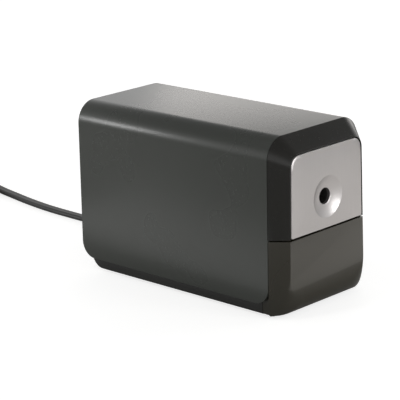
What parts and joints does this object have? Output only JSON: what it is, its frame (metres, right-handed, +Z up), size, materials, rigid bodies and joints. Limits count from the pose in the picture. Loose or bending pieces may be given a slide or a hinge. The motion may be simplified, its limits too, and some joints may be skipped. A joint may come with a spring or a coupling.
{
  "type": "electric pencil sharpener",
  "caption": "Desk electric pencil sharpener: dark cover, bevelled front, dished pencil hole, smoke shavings drawer, helical cutter, gear train, motor and flat power cord.",
  "frame": {"origin": "on the table, under the middle of the body without its cord", "axes": "+Z up, +Y the way a pencil goes in, from the front to the rear, +X to the right seen from the front"},
  "size_m": [0.0967, 0.4081, 0.1],
  "materials": {
    "cover_plastic": "fine textured dark grey moulding",
    "trim_plastic": "smooth black moulding",
    "silver_face": "satin silver-grey",
    "smoke_plastic": "smoke-tinted see-through moulding",
    "base_plastic": "black moulding",
    "frame_plastic": "ivory acetal",
    "nylon": "natural nylon",
    "steel": "bright ground steel",
    "dark_steel": "blackened steel",
    "brass": "turned brass",
    "copper": "copper wire and bands",
    "rubber": "soft black rubber",
    "cord_vinyl": "dark grey vinyl"
  },
  "bodies": {
    "root": {"base_housing": "base_plastic", "base_screw_1": "dark_steel", "base_screw_2": "dark_steel", "base_screw_3": "dark_steel", "base_screw_4": "dark_steel", "coil_bobbin": "nylon", "cord_coil": "cord_vinyl", "cord_strain_relief": "rubber", "cord_tie": "rubber", "face_plate": "silver_face", "front_bezel": "trim_plastic", "front_frame": "frame_plastic", "front_motor_bracket": "steel", "front_motor_bracket_bush": "brass", "gear_plate": "steel", "gearbox_spacer_1": "brass", "gearbox_spacer_2": "brass", "gearbox_spacer_3": "brass", "gearbox_spacer_4": "brass", "interlock_switch": "base_plastic", "intermediate_shaft": "steel", "lever_pin": "steel", "lever_spring": "steel", "motor_plate": "steel", "motor_screw_1": "dark_steel", "motor_screw_2": "dark_steel", "pencil_guide": "base_plastic", "plug_blade_1": "brass", "plug_blade_2": "brass", "plug_body": "cord_vinyl", "power_cord": "cord_vinyl", "power_cord_tail": "cord_vinyl", "rear_motor_bracket": "steel", "rear_motor_bracket_bush": "brass", "rear_panel": "trim_plastic", "ring_gear": "frame_plastic", "rubber_foot_1": "rubber", "rubber_foot_2": "rubber", "rubber_foot_3": "rubber", "rubber_foot_4": "rubber", "shading_ring_1": "copper", "shading_ring_2": "copper", "start_switch": "base_plastic", "stator_coil": "copper", "stator_stack": "dark_steel", "top_cover": "cover_plastic"},
    "receptacle": {"shavings_receptacle": "smoke_plastic"},
    "carrier": {"cutter_carrier": "dark_steel", "cutter_pin": "steel", "drive_gear": "nylon"},
    "cutter": {"helical_cutter": "steel", "cutter_pinion": "brass"},
    "idler": {"intermediate_gear": "nylon"},
    "rotor": {"rotor": "steel", "rotor_shaft": "steel", "motor_pinion": "brass", "cooling_fan": "base_plastic"},
    "lever": {"sensing_lever": "base_plastic"},
    "button": {"start_switch_button": "nylon"},
    "plunger": {"interlock_plunger": "nylon"}
  },
  "joints": [
    {"name": "receptacle_slide", "type": "slide", "parent": "root", "child": "receptacle", "axis": [0, -1, 0], "range_m": [0, 0.062]},
    {"name": "carrier_spin", "type": "hinge", "parent": "root", "child": "carrier", "pos_m": [0, -0.04, 0.0625], "axis": [0, 1, 0], "continuous": true},
    {"name": "cutter_spin", "type": "hinge", "parent": "carrier", "child": "cutter", "pos_m": [0, -0.0527, 0.0742], "axis": [0, 0.9816, -0.1908], "continuous": true},
    {"name": "idler_spin", "type": "hinge", "parent": "root", "child": "idler", "pos_m": [-0.0147, -0.009, 0.03485], "axis": [0, 1, 0], "continuous": true},
    {"name": "rotor_spin", "type": "hinge", "parent": "root", "child": "rotor", "pos_m": [0.00851, 0.02, 0.04042], "axis": [0, 1, 0], "continuous": true},
    {"name": "lever_swing", "type": "hinge", "parent": "root", "child": "lever", "pos_m": [0, -0.0687, 0.0767], "axis": [1, 0, 0], "range_deg": [0, 16], "stiffness_Nm_per_rad": 0.02, "springref_deg": -17.19},
    {"name": "button_press", "type": "slide", "parent": "root", "child": "button", "axis": [0, 0, 1], "range_m": [0, 0.00079]},
    {"name": "plunger_slide", "type": "slide", "parent": "root", "child": "plunger", "axis": [0, -1, 0], "range_m": [0, 0.003]}
  ],
  "couplings": [
    {"joint": "cutter_spin", "follows": "carrier_spin", "ratio": -3.1667},
    {"joint": "idler_spin", "follows": "carrier_spin", "ratio": -3.3333},
    {"joint": "rotor_spin", "follows": "carrier_spin", "ratio": 13.333},
    {"joint": "lever_swing", "follows": "button_press", "rad_per_m": 349.65},
    {"joint": "plunger_slide", "follows": "receptacle_slide", "ratio": 0.048}
  ]
}
